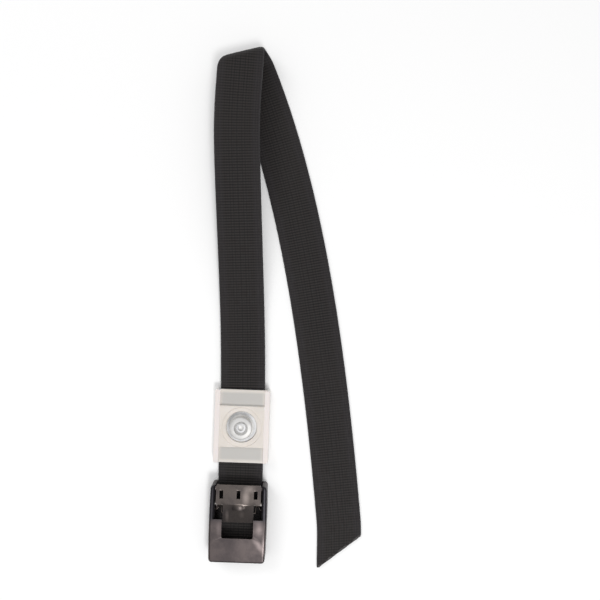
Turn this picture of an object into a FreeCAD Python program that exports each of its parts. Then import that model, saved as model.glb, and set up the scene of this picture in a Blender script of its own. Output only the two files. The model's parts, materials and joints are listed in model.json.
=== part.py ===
"""ESD wrist strap: woven band folded over on a table, spring cam buckle at one end, sliding snap carrier.

Frame, in millimetres: origin at the centre of the buckle's underside, +Y along the band away from
the buckle, +X across the band, +Z up. The buckle, the carrier and the band's lower run lie on z = 0.
"""

import FreeCAD
import Part
import math
import os

from FreeCAD import Vector

# ---- band -------------------------------------------------------------------------------
BAND_WIDTH = 20.0
BAND_THICK = 1.5
BAND_LENGTH = 459.0          # along the centreline, anchored end to the middle of the slanted cut
BAND_END_Y = -15.0           # anchored end, inside the buckle
BAND_LOW_Z = 1.95            # mid-thickness height where the band is level
FOLD_RADIUS = 5.95           # of the mid-thickness surface
FOLD_ANGLE = 15.4            # degrees, fold axis from +X
FOLD_POINT = Vector(-5.0, 202.1, 0.0)
RISE_START_Y = 82.0          # the band leaves its level stretch
RISE_END_Y = 172.0
LEAN_START_Y = 28.0          # the band starts to drift sideways
LEAN_END_Y = 96.5
LEAN = 3.1                   # degrees, its drift at mid-length
EASE_START_Y = 161.0         # and starts to swing back
EASE_END_Y = 195.0
FOLD_LEAN = -2.4             # degrees, its drift where the fold begins
FOLD_TURN = 9.4              # degrees it turns in its own plane round the fold
STRAIGHTEN_LENGTH = 112.6    # distance over which the lower run loses most of its slant
END_HEADING = 3.6            # degrees off -Y that the lower run settles to
CUT_SKEW = 34.0              # degrees, the cut end from square
END_FLARE = 1.7              # how far the pointed tip bends aside
FLARE_START = -15.0          # along the band, from the middle of the cut
FLARE_END = 11.0
STATION_COUNT = 368
STATION_STEP = BAND_LENGTH / STATION_COUNT
PANEL_STATIONS = 16          # the band's faces are this many stations long

# ---- buckle -----------------------------------------------------------------------------
BUCKLE_LENGTH = 34.0
BUCKLE_WIDTH = 25.4
BUCKLE_HEIGHT = 9.0
BUCKLE_BULGE = 0.3
CORNER_RADIUS = 1.6
CHANNEL_WIDTH = 20.8
BASE_THICK = 1.2
BRIDGE_THICK = 1.3
BRIDGE_LENGTH = 10.9
ARM_LENGTH = 19.2             # front edge to the step beside the lever
WINDOW_WIDTH = 14.0
FRONT_Y = -BUCKLE_LENGTH / 2.0

# ---- lever ------------------------------------------------------------------------------
PIVOT_Y = FRONT_Y + 25.3
PIVOT_Z = 5.85
PIN_RADIUS = 0.9
PIN_RUNNING_GAP = 0.05
LEVER_THICK = 1.0
PLATE_WIDTH = 19.8
PLATE_START_Y = FRONT_Y + 25.7
PLATE_END_Y = FRONT_Y + 34.4
PLATE_LOW_Z = 7.5
TAIL_WIDTH = 13.6
TAIL_END_Y = FRONT_Y + 17.2
TAIL_SLOPE = 14.0            # degrees below level, towards the thumb
EAR_RADIUS = 1.5
BEAD_SIZE = (5.6, 2.6)       # across and along
BEAD_HEIGHT = 0.75
BEAD_CURVE = 6.0             # radius of its back
STOP_LENGTH = 1.4
SLOT_PITCH = 7.6
SLOT_WIDTH = 1.7
SLOT_LENGTH = 4.1
SLOT_START_Y = FRONT_Y + 28.2
TOOTH_TIP_Z = 3.8

# ---- springs ----------------------------------------------------------------------------
WIRE_RADIUS = 0.25
COIL_RADIUS = 1.28
COIL_TURNS = 3
COIL_PITCH = 0.56
COIL_START_X = 7.6

# ---- anchor of the band's end -----------------------------------------------------------
ANCHOR_Y = FRONT_Y + 5.4
ANCHOR_PLATE = (16.0, 5.0, 0.8)
RIVET_SPACING = 10.0
RIVET_RADIUS = 1.0
RIVET_HEAD_RADIUS = 1.9
RIVET_HEAD_HEIGHT = 0.55
RIVET_RECESS = 0.1           # the upset tails stay above the base's underside

# ---- snap carrier -----------------------------------------------------------------------
CARRIER_X = 0.0
CARRIER_Y = 42.5
CARRIER_WIDTH = 24.6
CARRIER_LENGTH = 32.6
CARRIER_SLOT_WIDTH = 21.8
CONTACT_THICK = 0.6
COVER_LOW_Z = 0.6
SLOT_HIGH_Z = 3.1
BAND_ROOF_Z = 4.3            # recessed fields at both ends
RAIL_TOP_Z = 5.5
PAD_TOP_Z = 5.8
RAIL_WIDTH = 2.3
PAD_LENGTH = 18.4
PAD_CENTRE_Y = CARRIER_Y
RING_GROOVE_RADIUS = 8.8
RECESS_RADIUS = 7.0
RECESS_FLOOR_Z = 4.7
BRIDGE_STRIP_WIDTH = 7.0
BRIDGE_STRIP_THICK = 0.5
BRIDGE_STRIP_LOW_Z = 3.3
WASHER_RADIUS = 6.7
WASHER_THICK = 0.4
SNAP_RADIUS = 5.0            # 10 mm snap stud
SNAP_BAND_LENGTH = 1.2
SNAP_TOP_Z = 9.4
EYELET_RADIUS = 1.6


def box(x0, x1, y0, y1, z0, z1):
    """A box between two corners."""
    return Part.makeBox(x1 - x0, y1 - y0, z1 - z0, Vector(x0, y0, z0))


def rounded_plan(width, length, bulge, radius):
    """Plan outline with slightly bowed long sides and rounded corners."""
    half_w = width / 2.0 - bulge
    half_l = length / 2.0
    corners = [Vector(-half_w, -half_l, 0), Vector(half_w, -half_l, 0),
               Vector(half_w, half_l, 0), Vector(-half_w, half_l, 0)]
    front = Part.makeLine(corners[0], corners[1])
    right = Part.Arc(corners[1], Vector(half_w + bulge, 0, 0), corners[2]).toShape()
    back = Part.makeLine(corners[2], corners[3])
    left = Part.Arc(corners[3], Vector(-half_w - bulge, 0, 0), corners[0]).toShape()
    face = Part.Face(Part.Wire([front, right, back, left]))
    solid = face.extrude(Vector(0, 0, 1))
    upright = [e for e in solid.Edges if e.BoundBox.ZLength > 0.5]
    solid = solid.makeFillet(radius, upright)
    return [f for f in solid.Faces if f.BoundBox.ZLength < 1e-6 and f.CenterOfMass.z < 0.5][0]


def edges_in(solid, x0, x1, y0, y1, z0, z1):
    """The solid's edges that lie wholly inside a box."""
    def inside(edge):
        b = edge.BoundBox
        return (b.XMin >= x0 and b.XMax <= x1 and b.YMin >= y0 and b.YMax <= y1
                and b.ZMin >= z0 and b.ZMax <= z1)
    return [e for e in solid.Edges if inside(e)]


def cylinder_x(radius, x0, x1, y, z):
    """A cylinder along X."""
    return Part.makeCylinder(radius, x1 - x0, Vector(x0, y, z), Vector(1, 0, 0))


# ---- buckle -----------------------------------------------------------------------------

def buckle_frame():
    """Cast frame: base, two side walls and a bridge with the thumb window."""
    far = 50.0
    half_channel = CHANNEL_WIDTH / 2.0
    bridge_low_z = BUCKLE_HEIGHT - BRIDGE_THICK
    plan = rounded_plan(BUCKLE_WIDTH, BUCKLE_LENGTH, BUCKLE_BULGE, CORNER_RADIUS)
    frame = plan.extrude(Vector(0, 0, BUCKLE_HEIGHT))
    frame = frame.makeFillet(1.0, edges_in(frame, -far, far, -far, far, BUCKLE_HEIGHT - 0.01, far))
    frame = frame.makeFillet(0.35, edges_in(frame, -far, far, -far, far, -far, 0.01))
    channel = box(-half_channel, half_channel, -far, far, BASE_THICK, bridge_low_z)
    mouth = box(-half_channel, half_channel, FRONT_Y + ARM_LENGTH, far, BASE_THICK, far)
    window = box(-WINDOW_WIDTH / 2, WINDOW_WIDTH / 2, FRONT_Y + BRIDGE_LENGTH, far, BASE_THICK, far)
    window = window.makeFillet(0.9, [e for e in window.Edges if is_window_corner(e)])
    frame = frame.cut(channel).cut(mouth).cut(window)
    for side in (1, -1):
        frame = frame.cut(wall_bevel(side))
    frame = frame.fuse(stop_lug(1)).fuse(stop_lug(-1)).removeSplitter()
    frame = frame.cut(cylinder_x(PIN_RADIUS, -far, far, PIVOT_Y, PIVOT_Z))
    for side in (1, -1):
        frame = frame.cut(spring_leg_hole(side))
    for x in (-RIVET_SPACING / 2, RIVET_SPACING / 2):
        frame = frame.cut(Part.makeCylinder(RIVET_RADIUS, BASE_THICK, Vector(x, ANCHOR_Y, 0)))
        frame = frame.cut(Part.makeCone(RIVET_HEAD_RADIUS, RIVET_RADIUS, 0.6, Vector(x, ANCHOR_Y, 0)))
    return frame


def is_window_corner(edge):
    """True for the two upright corners of the thumb window beside the bridge."""
    b = edge.BoundBox
    return b.ZLength > 5.0 and abs(b.YMin - (FRONT_Y + BRIDGE_LENGTH)) < 0.01


def wall_bevel(side):
    """Wedge that bevels a side wall's inner top edge beside the lever."""
    width = 0.8
    wall = side * CHANNEL_WIDTH / 2.0
    outline = [Vector(wall - side * 0.1, FRONT_Y + ARM_LENGTH, BUCKLE_HEIGHT - width),
               Vector(wall, FRONT_Y + ARM_LENGTH, BUCKLE_HEIGHT - width),
               Vector(wall + side * width, FRONT_Y + ARM_LENGTH, BUCKLE_HEIGHT + 0.01),
               Vector(wall - side * 0.1, FRONT_Y + ARM_LENGTH, BUCKLE_HEIGHT + 0.01)]
    face = Part.Face(Part.makePolygon(outline + outline[:1]))
    return face.extrude(Vector(0, BUCKLE_LENGTH, 0))


def stop_lug(side):
    """Small lug on a side wall that carries the lever's corner at rest."""
    wall = side * CHANNEL_WIDTH / 2.0
    tip = side * (PLATE_WIDTH / 2.0 - 0.4)
    x0, x1 = sorted((wall + side * 0.2, tip))
    end_y = -FRONT_Y - CORNER_RADIUS / 2
    return box(x0, x1, end_y - STOP_LENGTH, end_y, PLATE_LOW_Z - 1.3, PLATE_LOW_Z - 0.05)


def spring_leg_hole(side):
    """Blind hole in a side wall for the spring's fixed leg."""
    x0, x1 = sorted((side * (CHANNEL_WIDTH / 2.0 - 0.1), side * (CHANNEL_WIDTH / 2.0 + 1.1)))
    return cylinder_x(WIRE_RADIUS + 0.05, x0, x1, PIVOT_Y - 3.0, PIVOT_Z - COIL_RADIUS)


def tail_height(y):
    """Underside height of the lever's tail at y."""
    return PLATE_LOW_Z - (PLATE_START_Y - y) * math.tan(math.radians(TAIL_SLOPE))


def clamp_lever():
    """Pressed steel lever: slotted plate with three lanced teeth, thumb tail and two pivot ears."""
    half = PLATE_WIDTH / 2.0
    plate = box(-half, half, PLATE_START_Y, PLATE_END_Y, PLATE_LOW_Z, PLATE_LOW_Z + LEVER_THICK)
    upright = [e for e in plate.Edges if e.BoundBox.ZLength > 0.5]
    plate = plate.makeFillet(0.7, upright)
    end_z = tail_height(TAIL_END_Y)
    side_points = [Vector(0, PLATE_START_Y + 1.0, PLATE_LOW_Z), Vector(0, PLATE_START_Y, PLATE_LOW_Z),
                   Vector(0, TAIL_END_Y, end_z), Vector(0, TAIL_END_Y, end_z + LEVER_THICK),
                   Vector(0, PLATE_START_Y, PLATE_LOW_Z + LEVER_THICK),
                   Vector(0, PLATE_START_Y + 1.0, PLATE_LOW_Z + LEVER_THICK)]
    profile = Part.Face(Part.makePolygon(side_points + side_points[:1]))
    tail = profile.extrude(Vector(TAIL_WIDTH, 0, 0))
    tail.translate(Vector(-TAIL_WIDTH / 2.0, 0, 0))
    lever = plate.fuse(tail)
    for side in (1, -1):
        lever = lever.fuse(lever_ear(side))
    for column in (-1, 0, 1):
        x = column * SLOT_PITCH
        slot = box(x - SLOT_WIDTH / 2, x + SLOT_WIDTH / 2, SLOT_START_Y, SLOT_START_Y + SLOT_LENGTH,
                   PLATE_LOW_Z - 1, PLATE_LOW_Z + 2)
        lever = lever.cut(slot).fuse(lever_tooth(x))
    lever = lever.fuse(thumb_bead()).removeSplitter()
    return lever.cut(cylinder_x(PIN_RADIUS + PIN_RUNNING_GAP, -half, half, PIVOT_Y, PIVOT_Z))


def lever_ear(side):
    """Ear that hangs from the lever around the hinge pin."""
    outer = TAIL_WIDTH / 2.0
    x0, x1 = sorted((side * outer, side * (outer - LEVER_THICK)))
    disc = cylinder_x(EAR_RADIUS, x0, x1, PIVOT_Y, PIVOT_Z)
    web = box(x0, x1, PIVOT_Y - EAR_RADIUS, PIVOT_Y + EAR_RADIUS, PIVOT_Z, PLATE_LOW_Z + 0.3)
    above_tail_z = tail_height(PIVOT_Y) + 0.4
    web = web.cut(box(x0, x1, PIVOT_Y - 3, PLATE_START_Y, above_tail_z, PLATE_LOW_Z + 1))
    return disc.fuse(web)


def lever_tooth(x):
    """Pointed tooth, lanced out of a slot and bent down at its far end."""
    y0 = SLOT_START_Y + SLOT_LENGTH - LEVER_THICK * 0.6
    y1 = SLOT_START_Y + SLOT_LENGTH + 0.1
    half = SLOT_WIDTH / 2.0
    shoulder_z = TOOTH_TIP_Z + 1.5
    root_z = PLATE_LOW_Z + 0.5
    outline = [Vector(x - half, y0, root_z), Vector(x + half, y0, root_z), Vector(x + half, y0, shoulder_z),
               Vector(x, y0, TOOTH_TIP_Z), Vector(x - half, y0, shoulder_z)]
    face = Part.Face(Part.makePolygon(outline + outline[:1]))
    return face.extrude(Vector(0, y1 - y0, 0))


def thumb_bead():
    """Small raised pip on the tail, just below the bend."""
    width, length = BEAD_SIZE
    y = PLATE_START_Y - length / 2
    top_z = tail_height(y) + LEVER_THICK + BEAD_HEIGHT
    bead = Part.makeSphere(BEAD_CURVE, Vector(0, y, top_z - BEAD_CURVE))
    keep = box(-width / 2, width / 2, y - length / 2, y + length / 2, top_z - LEVER_THICK - 0.3, top_z + 1)
    return bead.common(keep)


def hinge_pin():
    """Pin through both side walls, with chamfered ends."""
    half = BUCKLE_WIDTH / 2.0 - 0.25
    pin = cylinder_x(PIN_RADIUS, -half, half, PIVOT_Y, PIVOT_Z)
    return pin.makeChamfer(0.2, [e for e in pin.Edges if e.BoundBox.XLength < 1e-6])


def lever_spring(side):
    """Torsion spring on the pin: one leg under the tail, the other in the side wall."""
    coil_length = COIL_TURNS * COIL_PITCH
    helix = Part.makeHelix(COIL_PITCH, coil_length, COIL_RADIUS)
    section = Part.Wire(Part.makeCircle(WIRE_RADIUS, Vector(COIL_RADIUS, 0, 0), Vector(0, 1, 0)))
    coil = Part.Wire(helix).makePipeShell([section], True, True)
    coil.rotate(Vector(0, 0, 0), Vector(0, 1, 0), 90)
    coil.translate(Vector(COIL_START_X, PIVOT_Y, PIVOT_Z))
    low_z = PIVOT_Z - COIL_RADIUS
    inner_x = COIL_START_X
    outer_x = COIL_START_X + coil_length
    lift_y = PIVOT_Y - 4.0
    lift_z = tail_height(lift_y) - WIRE_RADIUS - 0.05
    inner_leg = wire_run([Vector(inner_x, PIVOT_Y, low_z), Vector(inner_x, lift_y, lift_z),
                          Vector(inner_x - 2.6, lift_y, lift_z)])
    outer_leg = wire_run([Vector(outer_x, PIVOT_Y, low_z), Vector(outer_x, PIVOT_Y - 3.0, low_z),
                          Vector(CHANNEL_WIDTH / 2.0 + 0.9, PIVOT_Y - 3.0, low_z)])
    spring = coil.fuse(inner_leg).fuse(outer_leg)
    if side < 0:
        spring = spring.mirror(Vector(0, 0, 0), Vector(1, 0, 0))
    return spring


def wire_run(points):
    """Straight lengths of spring wire with rounded joints, a little fuller at the coil."""
    run = Part.makeSphere(WIRE_RADIUS * 1.15, points[0])
    for start, end in zip(points, points[1:]):
        length = (end - start).Length
        run = run.fuse(Part.makeCylinder(WIRE_RADIUS, length, start, end - start))
        run = run.fuse(Part.makeSphere(WIRE_RADIUS, end))
    return run


def anchor_plate():
    """Clamp plate over the band's anchored end."""
    width, length, thick = ANCHOR_PLATE
    low_z = BAND_LOW_Z + BAND_THICK / 2.0
    plate = box(-width / 2, width / 2, ANCHOR_Y - length / 2, ANCHOR_Y + length / 2, low_z, low_z + thick)
    plate = plate.makeFillet(1.2, [e for e in plate.Edges if e.BoundBox.ZLength > 0.5])
    for x in (-RIVET_SPACING / 2, RIVET_SPACING / 2):
        plate = plate.cut(Part.makeCylinder(RIVET_RADIUS, 5, Vector(x, ANCHOR_Y, 0)))
    return plate


def anchor_rivets():
    """Two rivets through the plate, the band and the base, sunk underneath."""
    top_z = BAND_LOW_Z + BAND_THICK / 2.0 + ANCHOR_PLATE[2]
    dome_radius = (RIVET_HEAD_RADIUS ** 2 + RIVET_HEAD_HEIGHT ** 2) / (2 * RIVET_HEAD_HEIGHT)
    rivets = []
    for x in (-RIVET_SPACING / 2, RIVET_SPACING / 2):
        shank = Part.makeCylinder(RIVET_RADIUS, top_z - RIVET_RECESS, Vector(x, ANCHOR_Y, RIVET_RECESS))
        tail = Part.makeCone(RIVET_HEAD_RADIUS - 0.15, RIVET_RADIUS, 0.5, Vector(x, ANCHOR_Y, RIVET_RECESS))
        dome = Part.makeSphere(dome_radius, Vector(x, ANCHOR_Y, top_z + RIVET_HEAD_HEIGHT - dome_radius))
        head = dome.common(box(x - 3, x + 3, ANCHOR_Y - 3, ANCHOR_Y + 3, top_z, top_z + 3))
        rivets.append(shank.fuse(tail).fuse(head).removeSplitter())
    return Part.makeCompound(rivets)


# ---- band -------------------------------------------------------------------------------

def smooth(value, start, end):
    """Eased step from 0 at start to 1 at end."""
    t = min(max((value - start) / (end - start), 0.0), 1.0)
    return t * t * (3.0 - 2.0 * t)


def fold_axis():
    """Unit vectors along the fold and square to it, in plan."""
    angle = math.radians(FOLD_ANGLE)
    return Vector(math.cos(angle), math.sin(angle), 0), Vector(-math.sin(angle), math.cos(angle), 0)


def band_heading(point, past_fold):
    """Heading of the unfolded band's centreline, in degrees from +Y towards -X."""
    if past_fold is None:
        to_fold = (point - FOLD_POINT).dot(fold_axis()[1])
        lean = LEAN * smooth(point.y, LEAN_START_Y, LEAN_END_Y)
        lean -= (LEAN - FOLD_LEAN) * smooth(point.y, EASE_START_Y, EASE_END_Y)
        return lean + FOLD_TURN * smooth(to_fold, 0.0, math.pi * FOLD_RADIUS)
    first = 2 * FOLD_ANGLE - FOLD_LEAN - FOLD_TURN
    slant = END_HEADING + (first - END_HEADING) * math.exp(-past_fold / STRAIGHTEN_LENGTH)
    return 2 * FOLD_ANGLE - slant


def band_skew(heading, to_fold, past_fold, left_to_go):
    """Angle of a cross line from square: along the fold there, and along the cut at the end."""
    skew = (FOLD_ANGLE - heading) * smooth(to_fold, -30.0, 0.0)
    if past_fold is not None:
        skew *= 1.0 - smooth(past_fold, 0.0, 40.0)
    return skew - CUT_SKEW * smooth(-left_to_go, -40.0, -2.0)


def direction(heading):
    """Unit vector in plan for a heading in degrees from +Y towards -X."""
    angle = math.radians(heading)
    return Vector(-math.sin(angle), math.cos(angle), 0)


def fold_over(point):
    """Place of a point of the unfolded band, and the outward normal of its upper face."""
    along, square = fold_axis()
    top_z = BAND_THICK / 2.0 + 2.0 * FOLD_RADIUS
    turn = math.pi * FOLD_RADIUS
    past = (point - FOLD_POINT).dot(square)
    if past <= 0:
        climb = top_z - BAND_LOW_Z
        step = 0.01
        z = BAND_LOW_Z + climb * smooth(point.y, RISE_START_Y, RISE_END_Y)
        z_next = BAND_LOW_Z + climb * smooth(point.y + step, RISE_START_Y, RISE_END_Y)
        normal = Vector(0, -(z_next - z) / step, 1)
        normal.normalize()
        return Vector(point.x, point.y, z), normal
    if past < turn:
        angle = past / FOLD_RADIUS
        place = point - square * past + square * (FOLD_RADIUS * math.sin(angle))
        place.z = top_z - FOLD_RADIUS * (1.0 - math.cos(angle))
        return place, square * math.sin(angle) + Vector(0, 0, math.cos(angle))
    place = point - square * (2.0 * past - turn)
    place.z = top_z - 2.0 * FOLD_RADIUS
    return place, Vector(0, 0, -1)


def band_stations():
    """Centreline points, headings and skews of the unfolded band, from the anchored end to the cut."""
    square = fold_axis()[1]
    turn = math.pi * FOLD_RADIUS
    steps = 8
    point = Vector(0, BAND_END_Y, 0)
    past_fold = None
    stations = []
    for index in range(STATION_COUNT + 1):
        travelled = index * STATION_STEP
        to_fold = (point - FOLD_POINT).dot(square)
        heading = band_heading(point, past_fold)
        skew = band_skew(heading, to_fold, past_fold, BAND_LENGTH - travelled)
        stations.append((travelled, point, heading, math.radians(skew)))
        for _ in range(steps):
            small = STATION_STEP / steps
            point = point + direction(band_heading(point, past_fold)) * small
            if past_fold is not None:
                past_fold += small
            elif (point - FOLD_POINT).dot(square) > turn:
                past_fold = 0.0
    return stations


def webbing_strap():
    """The whole band as one solid, with holes for the anchor rivets."""
    corners = {(w, n): [] for w in (-1, 1) for n in (-1, 1)}
    travel = []
    for travelled, point, heading, skew in band_stations():
        forward = direction(heading)
        cross = direction(heading - 90.0) + forward * math.tan(skew)
        travel.append(travelled)
        for w in (-1, 1):
            across = w * BAND_WIDTH / 2.0
            place, normal = fold_over(point + cross * across)
            past_cut = travelled + across * math.tan(skew) - BAND_LENGTH
            place.x -= END_FLARE * smooth(past_cut, FLARE_START, FLARE_END)
            for n in (-1, 1):
                corners[(w, n)].append(place + normal * (n * BAND_THICK / 2.0))
    curves = {key: smooth_curve(points, travel) for key, points in corners.items()}
    order = [(-1, -1), (1, -1), (1, 1), (-1, 1)]
    faces = []
    for start, end in zip(travel[::PANEL_STATIONS], travel[PANEL_STATIONS::PANEL_STATIONS]):
        for a, b in zip(order, order[1:] + order[:1]):
            faces.append(ruled_face(curves[a], curves[b], start, end))
    for end in (0, -1):
        outline = [corners[key][end] for key in order]
        faces.append(Part.Face(Part.makePolygon(outline + outline[:1])))
    shell = Part.makeShell(faces)
    shell.sewShape()
    solid = Part.Solid(shell)
    if solid.Volume < 0:
        solid.reverse()
    for x in (-RIVET_SPACING / 2, RIVET_SPACING / 2):
        solid = solid.cut(Part.makeCylinder(RIVET_RADIUS, 5, Vector(x, ANCHOR_Y, 0)))
    return solid


def smooth_curve(points, travel):
    """A smooth curve through the points, each at its own distance along the band."""
    curve = Part.BSplineCurve()
    curve.interpolate(Points=points, Parameters=travel)
    return curve


def ruled_face(first, second, start, end):
    """Face of straight lines between one stretch of two curves that share their knots."""
    first = first.copy()
    second = second.copy()
    first.segment(start, end)
    second.segment(start, end)
    poles = [[a, b] for a, b in zip(first.getPoles(), second.getPoles())]
    surface = Part.BSplineSurface()
    surface.buildFromPolesMultsKnots(poles, first.getMultiplicities(), [2, 2], first.getKnots(), [0.0, 1.0],
                                     False, False, first.Degree, 1)
    return surface.toShape()


# ---- snap carrier -----------------------------------------------------------------------

def carrier_box(width, length, z0, z1, centre_y=CARRIER_Y):
    """A box centred on the carrier."""
    half_w = width / 2
    half_l = length / 2
    return box(CARRIER_X - half_w, CARRIER_X + half_w, centre_y - half_l, centre_y + half_l, z0, z1)


def disc(radius, z0, z1):
    """An upright cylinder on the snap's axis."""
    return Part.makeCylinder(radius, z1 - z0, Vector(CARRIER_X, PAD_CENTRE_Y, z0))


def slide_cover():
    """Moulded housing: rails at both sides, recessed fields, raised pad with a ringed seat for the snap."""
    body = carrier_box(CARRIER_WIDTH, CARRIER_LENGTH, COVER_LOW_Z, RAIL_TOP_Z)
    body = body.makeFillet(0.9, [e for e in body.Edges if e.BoundBox.ZLength > 2])
    body = body.makeFillet(0.45, edges_in(body, -99, 99, -99, 99, RAIL_TOP_Z - 0.01, 99))
    field_width = CARRIER_WIDTH - 2 * RAIL_WIDTH
    body = body.cut(carrier_box(field_width, CARRIER_LENGTH + 2, BAND_ROOF_Z, 99))
    pad = carrier_box(field_width, PAD_LENGTH, BAND_ROOF_Z - 0.5, PAD_TOP_Z, PAD_CENTRE_Y)
    pad = pad.makeFillet(0.3, edges_in(pad, -99, 99, -99, 99, PAD_TOP_Z - 0.01, 99))
    body = body.fuse(pad)
    groove = disc(RING_GROOVE_RADIUS + 0.35, PAD_TOP_Z - 0.4, 99).cut(
        disc(RING_GROOVE_RADIUS - 0.35, PAD_TOP_Z - 0.5, 100))
    seat = disc(RECESS_RADIUS, RECESS_FLOOR_Z, 99)
    body = body.cut(groove).cut(seat)
    body = body.cut(carrier_box(CARRIER_SLOT_WIDTH, CARRIER_LENGTH + 2, 0, SLOT_HIGH_Z))
    strip_high_z = BRIDGE_STRIP_LOW_Z + BRIDGE_STRIP_THICK
    body = body.cut(carrier_box(strip_span(), BRIDGE_STRIP_WIDTH, 0, strip_high_z, PAD_CENTRE_Y))
    return body.cut(disc(EYELET_RADIUS, 0, 99)).removeSplitter()


def strip_span():
    """Outer width across the contact's two upright tabs."""
    return CARRIER_SLOT_WIDTH + 2 * BRIDGE_STRIP_THICK


def contact_plate():
    """Stainless plate against the skin, with an upright tab at each side."""
    plate = carrier_box(CARRIER_WIDTH - 0.6, CARRIER_LENGTH - 0.6, 0, CONTACT_THICK)
    plate = plate.makeFillet(1.2, [e for e in plate.Edges if e.BoundBox.ZLength > 0.4])
    plate = plate.makeFillet(0.3, edges_in(plate, -99, 99, -99, 99, -1, 0.01))
    for side in (-1, 1):
        x = CARRIER_X + side * (CARRIER_SLOT_WIDTH + BRIDGE_STRIP_THICK) / 2
        half = BRIDGE_STRIP_WIDTH / 2
        tab = box(x - BRIDGE_STRIP_THICK / 2, x + BRIDGE_STRIP_THICK / 2,
                  PAD_CENTRE_Y - half, PAD_CENTRE_Y + half, CONTACT_THICK / 2, BRIDGE_STRIP_LOW_Z)
        plate = plate.fuse(tab)
    return plate.removeSplitter()


def contact_bridge():
    """Flat strip across the housing that joins the tabs to the snap."""
    strip = carrier_box(strip_span(), BRIDGE_STRIP_WIDTH, BRIDGE_STRIP_LOW_Z,
                        BRIDGE_STRIP_LOW_Z + BRIDGE_STRIP_THICK, PAD_CENTRE_Y)
    return strip.cut(disc(EYELET_RADIUS, 0, 9))


def revolve(profile):
    """Turn a closed (radius, height) outline about the snap's axis."""
    points = [Vector(CARRIER_X + r, PAD_CENTRE_Y, z) for r, z in profile]
    face = Part.Face(Part.makePolygon(points + points[:1]))
    return face.revolve(Vector(CARRIER_X, PAD_CENTRE_Y, 0), Vector(0, 0, 1), 360)


def snap_washer():
    """Flat ring under the stud."""
    return disc(WASHER_RADIUS, RECESS_FLOOR_Z, RECESS_FLOOR_Z + WASHER_THICK).cut(disc(EYELET_RADIUS, 0, 9))


def snap_stud():
    """Male snap: foot, neck, cylindrical gripping band and a dished crown."""
    foot_z = RECESS_FLOOR_Z + WASHER_THICK
    band_low = 6.9
    band_high = band_low + SNAP_BAND_LENGTH
    rim = SNAP_RADIUS - 1.3
    stud = revolve([(EYELET_RADIUS, foot_z), (5.6, foot_z), (5.6, foot_z + 0.35), (4.3, foot_z + 0.6),
                    (4.2, band_low - 0.7), (SNAP_RADIUS, band_low), (SNAP_RADIUS, band_high),
                    (SNAP_RADIUS - 0.45, band_high + 0.8), (rim, SNAP_TOP_Z), (rim - 0.5, SNAP_TOP_Z),
                    (2.5, SNAP_TOP_Z - 0.5), (2.4, SNAP_TOP_Z - 1.6), (EYELET_RADIUS, SNAP_TOP_Z - 1.6)])
    return stud


def stud_eyelet():
    """Tubular rivet that holds strip, housing, washer and stud together."""
    low_z = BRIDGE_STRIP_LOW_Z
    high_z = SNAP_TOP_Z - 1.6
    bore = EYELET_RADIUS - 0.4
    return revolve([(bore, low_z), (EYELET_RADIUS, low_z), (EYELET_RADIUS, high_z), (2.2, high_z),
                    (2.0, high_z + 0.4), (1.3, high_z + 0.5), (bore, high_z + 0.1)])


def main():
    """Build every piece and write one STEP file each."""
    os.makedirs("parts", exist_ok=True)
    pieces = {
        "buckle_frame": buckle_frame(),
        "clamp_lever": clamp_lever(),
        "hinge_pin": hinge_pin(),
        "lever_spring_left": lever_spring(-1),
        "lever_spring_right": lever_spring(1),
        "anchor_plate": anchor_plate(),
        "anchor_rivets": anchor_rivets(),
        "webbing_strap": webbing_strap(),
        "slide_cover": slide_cover(),
        "contact_plate": contact_plate(),
        "contact_bridge": contact_bridge(),
        "snap_washer": snap_washer(),
        "snap_stud": snap_stud(),
        "stud_eyelet": stud_eyelet(),
    }
    for name, shape in pieces.items():
        shape.exportStep(os.path.join("parts", name + ".step"))
        b = shape.BoundBox
        print(name, "valid" if shape.isValid() else "INVALID", len(shape.Solids), "solid(s)",
              "volume %.1f" % shape.Volume,
              "x %.2f..%.2f y %.2f..%.2f z %.2f..%.2f" % (b.XMin, b.XMax, b.YMin, b.YMax, b.ZMin, b.ZMax))


main()
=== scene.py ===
import json
import math

import bpy
import numpy as np
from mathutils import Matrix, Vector


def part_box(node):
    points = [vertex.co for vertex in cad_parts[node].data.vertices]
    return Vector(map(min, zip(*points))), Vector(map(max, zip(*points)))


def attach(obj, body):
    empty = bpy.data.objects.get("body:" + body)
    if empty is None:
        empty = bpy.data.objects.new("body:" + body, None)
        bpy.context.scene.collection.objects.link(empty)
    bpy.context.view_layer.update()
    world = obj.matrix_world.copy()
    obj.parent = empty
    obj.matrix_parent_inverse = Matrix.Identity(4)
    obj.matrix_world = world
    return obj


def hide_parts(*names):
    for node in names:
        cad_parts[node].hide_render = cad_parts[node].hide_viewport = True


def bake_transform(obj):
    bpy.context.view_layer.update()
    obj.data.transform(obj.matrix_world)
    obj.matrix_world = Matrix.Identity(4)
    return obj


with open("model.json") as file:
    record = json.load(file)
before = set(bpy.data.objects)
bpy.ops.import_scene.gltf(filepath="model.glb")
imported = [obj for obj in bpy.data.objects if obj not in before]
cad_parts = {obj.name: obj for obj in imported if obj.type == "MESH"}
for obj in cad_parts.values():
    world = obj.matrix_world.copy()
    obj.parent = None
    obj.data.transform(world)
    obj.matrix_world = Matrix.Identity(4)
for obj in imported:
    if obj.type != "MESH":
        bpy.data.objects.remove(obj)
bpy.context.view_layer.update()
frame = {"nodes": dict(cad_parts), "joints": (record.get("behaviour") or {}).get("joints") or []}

MM = 0.001

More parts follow.
